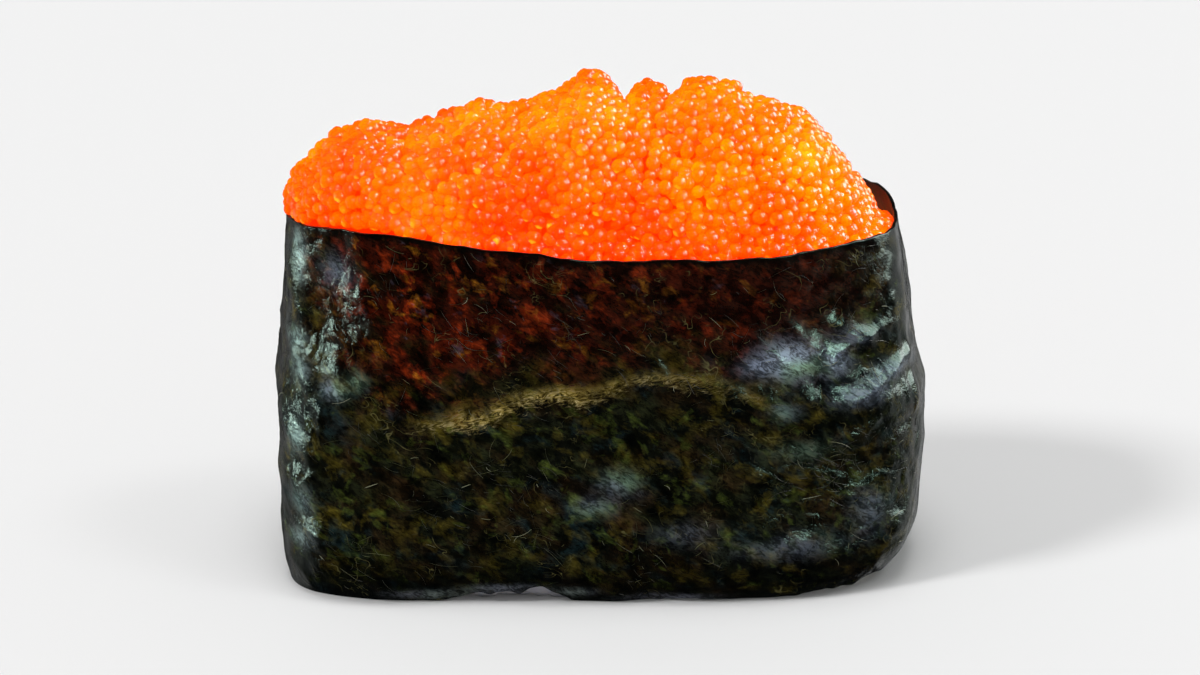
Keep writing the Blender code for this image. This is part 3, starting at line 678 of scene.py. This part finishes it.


# roasted laver, a sheet pressed from fine weed, gone damp: near-black and softly glossy, with patches of
# olive, red-brown above the shoulder as painted glow of the roe through the sheet, a pale bloom partly
# painted as sheen, a painted highlight along the shoulder, and hairs of weed
def dampNori():
    material, add = newMaterial("damp_roasted_nori")
    place = add("TexCoord").outputs["Object"]
    split = add("SeparateXYZ", {0: place}).outputs
    bloomAndSheen, inside, edge = (add("Attribute", attribute_name=name).outputs["Fac"]
                           for name in ("bloomAndSheen", "inside", "edge"))
    # the weed lies down to the right, and the strands of the painted highlight along the shoulder the other
    # way: lean and stretch
    leaning, combing, drawn = (
        add("Mapping", {"Rotation": (0, math.radians(lean), 0), "Scale": stretch, "Vector": place},
            vector_type="TEXTURE")
        for lean, stretch in ((32, (1.4, 1.2, 1.0)), (32, (2.4, 1.4, 1.0)), (-12, (3.0, 1.6, 1.0))))
    # noises of 6, 3, 1.1, 0.36 and 0.38 mm: scale, detail, roughness, distortion and the place they read
    patches, folds, weed, strands, combed = (
        add("TexNoise", {"Scale": scale, "Detail": detail, "Roughness": rough, "Distortion": bend,
                         "Vector": at})
        for scale, detail, rough, bend, at in (
            (170.0, 3.0, 0.5, 0.0, leaning), (320.0, 1.0, 0.45, 0.8, place), (900.0, 4.0, 0.6, 0.4, leaning),
            (2800.0, 3.0, 0.65, 1.2, combing), (2600.0, 5.0, 0.7, 2.0, drawn)))
    lower = tinted(add, leaning, nori["lower"], nori["lowerTints"])
    upper = tinted(add, leaning, nori["upper"], nori["upperTints"])
    dim = add("MapRange", {"Value": split["X"], "From Min": -0.014, "From Max": 0.015, "To Min": 1.0,
                           "To Max": 0.58})  # the upper part is darker at the right
    upper = add("VectorMath", {0: upper, 1: dim}, operation="MULTIPLY")
    plain = add("MapRange", {"Value": split["X"], "From Min": -0.014, "From Max": 0.018, "To Min": 0.1,
                             "To Max": 0.55})  # and its tints fainter there
    upper = add("MixRGB", {0: plain, 1: upper, 2: srgb("#240b05")})
    fromMiddle = add("Math", {0: split["X"], 1: 0.005}, operation="SUBTRACT")
    fromMiddle = add("Math", {0: fromMiddle}, operation="ABSOLUTE")
    # the height of the rice's shoulder
    ridge = add("MapRange", {"Value": fromMiddle, "From Max": 0.026, "To Min": 0.0222, "To Max": 0.0162})
    above = add("Math", {0: split["Z"], 1: ridge}, operation="SUBTRACT")
    sway = add("Math", {0: patches, 1: 0.004, 2: -0.002}, operation="MULTIPLY_ADD")
    above = add("Math", {0: above, 1: sway}, operation="ADD")
    ragged = add("Math", {0: weed, 1: 0.006, 2: -0.003}, operation="MULTIPLY_ADD")
    frayed = add("Math", {0: above, 1: ragged}, operation="ADD")
    zone = add("MapRange", {"Value": frayed, "From Max": 0.0045})
    fromCentre = add("Math", {0: split["X"], 1: 0.001}, operation="ADD")
    fromCentre = add("Math", {0: fromCentre}, operation="ABSOLUTE")
    drop = add("Math", {0: split["Z"], 1: -0.6, 2: 0.0174}, operation="MULTIPLY_ADD")
    drop = add("Math", {0: drop, 1: 0.0}, operation="MAXIMUM")
    outside = add("Math", {0: fromCentre, 1: drop}, operation="ADD")
    sides = add("MapRange", {"Value": outside, "From Min": 0.02, "From Max": 0.027, "To Min": 1.0,
                             "To Max": 0.0})  # the red narrows towards the shoulder
    # above the shoulder the sheet is tauter towards the right, so that its bumps are weaker there
    toRight = add("MapRange", {"Value": split["X"], "From Min": -0.02, "From Max": 0.005, "To Max": -0.6})
    taut = add("Math", {0: zone, 1: toRight, 2: 1.0}, operation="MULTIPLY_ADD")
    zone = add("Math", {0: zone, 1: sides}, operation="MULTIPLY")
    # the red-brown zone above the shoulder is painted glow of the roe through the sheet
    colour = add("MixRGB", {0: zone, 1: lower, 2: upper})
    # the weed's grain, its strands and painted shade near the plate: together they are times 0.04 to 3.2
    grain = add("MapRange", {"Value": weed, "From Min": 0.36, "From Max": 0.66, "To Min": 0.28,
                             "To Max": 2.0})
    fine = add("MapRange", {"Value": strands, "From Min": 0.38, "From Max": 0.64, "To Min": 0.5,
                            "To Max": 1.6})
    low = add("MapRange", {"Value": split["Z"], "From Min": 0.0015, "From Max": 0.0065, "To Min": 0.3})
    for factor in (grain, fine, low):
        colour = add("VectorMath", {0: colour, 1: factor}, operation="MULTIPLY")
    # hairs: thin lines where a noise crosses its middle value, in clusters of 3 mm
    for size, seed, start in ((2.8, 20.0, 0.56), (1.7, 21.0, 0.6)):
        noise = add("TexNoise", {"Scale": 1000 / size, "Detail": 2.0, "Distortion": 1.4, "W": seed,
                                 "Vector": leaning}, noise_dimensions="4D")
        line = colourRamp(add, noise, [(0.49, "#000000"), (0.5, "#ffffff"), (0.51, "#000000")])
        cluster = add("TexNoise", {"Scale": 330.0, "Detail": 2.0, "W": seed + 5, "Vector": place},
                      noise_dimensions="4D")
        cluster = add("MapRange", {"Value": cluster, "From Min": start, "From Max": start + 0.12,
                                   "To Max": 0.7})
        line = add("Math", {0: line, 1: cluster}, operation="MULTIPLY")
        colour = add("MixRGB", {0: line, 1: colour, 2: srgb("#6e6840")})
    # a painted highlight along the shoulder, where its ridge catches the light from above, drawn as tan
    # combed strands
    frizz = add("Math", {0: combed, 1: 0.004, 2: -0.002}, operation="MULTIPLY_ADD")
    near = add("Math", {0: above, 1: frizz}, operation="ADD")
    near = add("Math", {0: near}, operation="ABSOLUTE")
    shoulderHighlight = add("MapRange", {"Value": near, "From Max": 0.0012, "To Min": 1.0, "To Max": 0.0},
                 interpolation_type="SMOOTHSTEP")
    weedGaps = add("MapRange", {"Value": weed, "From Min": 0.4, "From Max": 0.6, "To Min": 0.2})
    loosely = add("MapRange", {"Value": combed, "From Min": 0.38, "From Max": 0.56, "To Min": 0.35})
    reach = add("MapRange", {"Value": fromCentre, "From Min": 0.009, "From Max": 0.0165, "To Min": 1.0,
                             "To Max": 0.0})
    fading = add("MapRange", {"Value": split["X"], "From Min": -0.004, "From Max": 0.005, "To Min": 1.1,
                              "To Max": 0.5})
    for factor in (weedGaps, loosely, reach, fading):
        shoulderHighlight = add("Math", {0: shoulderHighlight, 1: factor}, operation="MULTIPLY")
    tan = colourRamp(add, combed, [(0.4, "#5a4a18"), (0.54, "#94803c"), (0.66, "#cbb98a")])
    colour = add("MixRGB", {0: shoulderHighlight, 1: colour, 2: tan})
    # the bloom and painted sheen are lavender or pale green, grey at the foot, and broken up by the weed and
    # its strands
    hue = colourRamp(add, patches, [(0.42, "#8aae94"), (0.5, "#98a8b8"), (0.6, "#98a6be")])
    # greener at the left corner
    atLeft = add("MapRange", {"Value": split["X"], "From Min": -0.0235, "From Max": -0.0265, "To Max": 0.6})
    hue = add("MixRGB", {0: atLeft, 1: hue, 2: srgb("#86ac94")})
    hue = add("MixRGB", {0: low, 1: srgb("#84828a"), 2: hue})
    broken = add("Math", {0: strands, 1: 1.3, 2: weed}, operation="MULTIPLY_ADD")
    broken = add("MapRange", {"Value": broken, "From Min": 1.02, "From Max": 1.3, "To Min": 0.2})
    pale = add("Math", {0: bloomAndSheen, 1: broken}, operation="MULTIPLY")
    colour = add("MixRGB", {0: pale, 1: colour, 2: hue})
    colour = add("MixRGB", {0: inside, 1: colour, 2: srgb("#40481c")})
    colour = add("MixRGB", {0: edge, 1: colour, 2: srgb("#060403")})
    gloss = add("MapRange", {"Value": weed, "From Min": 0.4, "From Max": 0.6, "To Min": 0.13, "To Max": 0.22})
    gloss = add("Math", {0: inside, 1: 0.4, 2: gloss}, operation="MULTIPLY_ADD")
    calm = add("MapRange", {"Value": fromCentre, "From Min": 0.01, "From Max": 0.024, "To Min": 0.4,
                            "To Max": 1.2})  # the middle of the front lies flatter than the ends
    calm = add("Math", {0: calm, 1: taut}, operation="MULTIPLY")
    folds = add("Math", {0: folds, 1: calm}, operation="MULTIPLY")
    crinkle = add("Bump", {"Strength": 0.8, "Distance": 0.0005, "Height": folds})
    rough = add("Math", {0: strands, 1: 0.35, 2: weed}, operation="MULTIPLY_ADD")
    rough = add("Math", {0: rough, 1: calm}, operation="MULTIPLY")
    flecky = add("Bump", {"Strength": 0.7, "Distance": 0.00016, "Height": rough, "Normal": crinkle})
    surface = add("BsdfPrincipled", {"IOR": 1.4, "Specular IOR Level": 0.35,
                                     "Specular Tint": (0.58, 1.0, 0.8, 1.0), "Base Color": colour,
                                     "Roughness": gloss, "Normal": flecky})
    add("OutputMaterial", {0: surface})
    return material


def noriFibre():  # single strands of weed on the sheet, from olive to pale, dry enough to catch the light
    material, add = newMaterial("weed_strand")
    tone = add("Attribute", attribute_name="tone").outputs["Fac"]
    colour = colourRamp(add, tone, [(0.0, "#14150a"), (0.5, "#3a3b1d"), (0.85, "#6d6e48"), (1.0, "#b4b69a")])
    surface = add("BsdfPrincipled", {"IOR": 1.4, "Roughness": 0.3, "Base Color": colour})
    add("OutputMaterial", {0: surface})
    return material


# flying fish roe: a clear skin over thick orange fluid, wet, so each egg has a small sharp highlight, and
# gathered light glows low on it
def fishRoe(name, stops):
    material, add = newMaterial(name)
    place = add("TexCoord").outputs["Object"]
    tone, glow = (add("Attribute", attribute_name=name).outputs["Fac"] for name in ("tone", "glow"))
    cloud = add("TexNoise", {"Scale": 110.0, "Detail": 1.0, "Vector": place})  # 9 mm
    cloud = add("MapRange", {"Value": cloud, "From Min": 0.35, "From Max": 0.65, "To Min": 0.14,
                             "To Max": 0.44})
    split = add("SeparateXYZ", {0: place}).outputs
    # partly painted light: the top of the heap, lit more, is drawn yellower, and the eggs low by the band
    # redder
    rise = add("MapRange", {"Value": split["Z"], "From Min": 0.032, "From Max": 0.042, "To Min": -0.37,
                            "To Max": 0.08})  # redder near the band, yellower at the top
    side = add("Math", {0: split["X"], 1: 0.001}, operation="ADD")
    side = add("Math", {0: side}, operation="ABSOLUTE")
    side = add("MapRange", {"Value": side, "From Min": 0.005, "From Max": 0.018, "To Min": 1.0,
                            "To Max": 0.5})  # but less so at the ends
    rise = add("Math", {0: rise, 1: side}, operation="MULTIPLY")
    # and a little yellower at both ends
    ends = add("Math", {0: side, 1: -0.12, 2: 0.12}, operation="MULTIPLY_ADD")
    # and more yellow towards the lower end
    aside = add("MapRange", {"Value": split["X"], "From Min": 0.002, "From Max": 0.02, "To Max": 0.16})
    own = add("Math", {0: tone, 1: 0.1}, operation="MULTIPLY")  # each egg's own shade
    through = add("MapRange", {"Value": glow, "From Min": -1.0, "From Max": 1.0, "To Min": -0.07,
                               "To Max": 0.09})  # each egg is yellower on its glow side
    mixed = cloud
    for part in (rise, ends, aside, own, through):
        mixed = add("Math", {0: mixed, 1: part}, operation="ADD")
    colour = colourRamp(add, mixed, stops)
    # a spot of gathered light on that side, which shows as a crescent, on the eggs with the highest tone
    crescent = add("MapRange", {"Value": glow, "From Min": 0.74, "From Max": 0.9})
    some = add("MapRange", {"Value": tone, "From Min": 0.66, "From Max": 0.92, "To Max": 0.7})
    crescent = add("Math", {0: crescent, 1: some}, operation="MULTIPLY")
    colour = add("MixRGB", {0: crescent, 1: colour, 2: srgb("#ffbe1e")})
    # its emission stands for the light carried inside the heap
    surface = add("BsdfPrincipled", {"IOR": 1.42, "Roughness": 0.05, "Subsurface Weight": 1.0,
                                     "Subsurface Radius": (1.0, 0.5, 0.1), "Subsurface Scale": 0.003,
                                     "Emission Strength": 0.5, "Emission Color": colour,
                                     "Base Color": colour})
    add("OutputMaterial", {0: surface})
    return material


def cookedRice():  # short-grain rice: milky, moist, slightly see-through
    material, add = newMaterial("cooked_rice")
    place = add("TexCoord").outputs["Object"]
    noise = add("TexNoise", {"Scale": 350.0, "Detail": 3.0, "Vector": place})
    colour = colourRamp(add, noise, [(0.35, "#cfc8b4"), (0.6, "#e9e4d6")])
    across = add("SeparateXYZ", {0: place}).outputs["Y"]
    across = add("Math", {0: across}, operation="ABSOLUTE")
    # the outermost grains, under the sheet's lifted foot, are greyed: partly the nori's dye and partly
    # painted shade
    stainedAndShaded = add("MapRange", {"Value": across, "From Min": 0.009, "From Max": 0.0112, "To Max": 0.95})
    colour = add("MixRGB", {0: stainedAndShaded, 1: colour, 2: srgb("#8a8990")})
    bump = add("Bump", {"Strength": 0.3, "Distance": 0.0002, "Height": noise})
    surface = add("BsdfPrincipled", {"IOR": 1.4, "Roughness": 0.35, "Subsurface Weight": 0.4,
                                     "Subsurface Radius": (1.0, 0.8, 0.55), "Subsurface Scale": 0.001,
                                     "Base Color": colour, "Normal": bump})
    add("OutputMaterial", {0: surface})
    return material


noriSkin = dampNori()
noriBand = makeNoriBand(noriSkin)
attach(noriBand, "root")
fibres = makeFibres(noriFibre())
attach(fibres, "root")
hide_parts("nori_wrap")
print("nori:", len(noriBand.data.polygons), "faces,", nori["fibres"], "fibres")

riceMaterial = cookedRice()
riceCore, grains = makeRiceCore(riceMaterial), makeGrains(riceMaterial)
for piece in (riceCore, grains):
    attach(piece, "root")
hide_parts("rice_block")
print("rice:", len(grains.data.polygons), "faces of grains")

places = eggPlaces()
roeCore = makeRoeCore(fishRoe("roe_core_fluid", [(0.2, "#ff3c00"), (0.8, "#ff6400")]))
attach(roeCore, "root")
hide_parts("tobiko_heap")
# kinds of egg: their share of the eggs, and their colours from deep to bright
eggKinds = {
    "roe_orange": (0.5, ("#ff4600", "#ff6400", "#ff8200", "#ffa50a")),
    "roe_deep": (0.25, ("#ff3e00", "#ff5a00", "#ff7800", "#ff9a04")),
    "roe_amber": (0.25, ("#ff5200", "#ff6e00", "#ff8c00", "#ffae10")),
}
shares, shades = zip(*eggKinds.values())
kindOf = np.random.default_rng(41).choice(len(eggKinds), len(places), p=shares)
for index, (name, colours) in enumerate(zip(eggKinds, shades)):
    stops = list(zip((0.1, 0.35, 0.6, 0.9), colours))
    eggs = makeEggs(name, places[kindOf == index], fishRoe(name + "_egg", stops), index)
    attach(eggs, "root")
    print(name + ":", len(eggs.data.polygons), "faces")

stage = {
    "floor": "#e9e9e9", "world": 0.37, "gloss": (0.015, 0.016, 0.018),
    # each lamp: direction to it, radiance, width in degrees, and whether it lights or only shows in gloss
    "lamps": {
        "key_softbox": ((-0.95, -0.5, 1.0), 45.5, 11.0, True),
        "fill_softbox": ((0.62, -0.2, 1.0), 7.0, 13.0, True),
        "top_softbox": ((0.0, -0.12, 1.0), 5.6, 30.0, True),
        "right_window": ((0.92, 0.24, 0.45), 11.5, 56.0, False),
        "right_gleam": ((0.65, -0.74, 0.2), 30.0, 16.0, False),
        "left_gleam": ((-0.95, -0.05, 0.02), 115.0, 7.2, False),
        "top_gleam": ((0.4, -0.5, 0.78), 17.0, 22.0, False),
        "left_floor_gleam": ((-0.8, 0.5, -0.34), 0.26, 64.0, False),
        "right_floor_gleam": ((0.7, 0.6, -0.34), 0.5, 60.0, False),
    },
    "elevation": 20.0, "distance": 300.0, "aim": 20.3, "lens": 100.0,
}


def makeFloor():  # a flat square of 3 m
    material, add = newMaterial("white_sweep")
    surface = add("BsdfPrincipled", {"Base Color": srgb(stage["floor"]), "Roughness": 0.8,
                                     "Specular IOR Level": 0.1})
    add("OutputMaterial", {0: surface})
    half = 1500.0
    corners = np.array([(-half, -half, 0), (half, -half, 0), (half, half, 0), (-half, half, 0)])
    floor = makePiece("stage_floor", corners, [np.array([[0, 1, 2, 3]])], material)
    floor.visible_glossy = False  # the studio is dark apart from its lamps, so only they show in gloss


# a far round softbox: its strength is radiance * pi * sin(width / 2)^2
def makeLamp(name, direction, radiance, width, lights):
    lamp = bpy.data.lights.new(name, "SUN")
    lamp.angle = math.radians(width)
    lamp.energy = radiance * math.pi * math.sin(lamp.angle / 2) ** 2
    lamp.use_shadow = lights
    holder = bpy.data.objects.new(name, lamp)
    holder.visible_diffuse, holder.visible_glossy = lights, not lights
    x, y, z = direction
    holder.rotation_euler = (math.atan2(math.hypot(x, y), z), 0, math.atan2(y, x) + math.pi / 2)
    bpy.context.scene.collection.objects.link(holder)


def makeWorld():  # even white light, and a dimmer room where something glossy mirrors it
    world = bpy.data.worlds.new("white_studio")
    add = emptyTree(world)
    ray = add("LightPath")
    white = add("Background", {0: (1, 1, 1, 1), 1: stage["world"]})
    room = add("Background", {0: stage["gloss"] + (1,), 1: 1.0})
    mixed = add("MixShader", {0: ray.outputs["Is Glossy Ray"], 1: white, 2: room})
    add("OutputWorld", {0: mixed})
    bpy.context.scene.world = world


def makeCamera():  # in front, raised by the elevation, looking at the aim
    tilt = math.radians(stage["elevation"])
    lens = bpy.data.cameras.new("camera")
    lens.lens, lens.sensor_width = stage["lens"], 36.0
    lens.clip_start = 0.01
    camera = bpy.data.objects.new("camera", lens)
    away = stage["distance"] * mm
    camera.location = (0, -away * math.cos(tilt), stage["aim"] * mm + away * math.sin(tilt))
    camera.rotation_euler = (math.pi / 2 - tilt, 0, 0)
    bpy.context.scene.collection.objects.link(camera)
    bpy.context.scene.camera = camera


makeFloor()
makeWorld()
for name, lamp in stage["lamps"].items():
    makeLamp(name, *lamp)
makeCamera()
bpy.context.scene.view_settings.view_transform = "Standard"
print("stage: floor, lamps, camera")
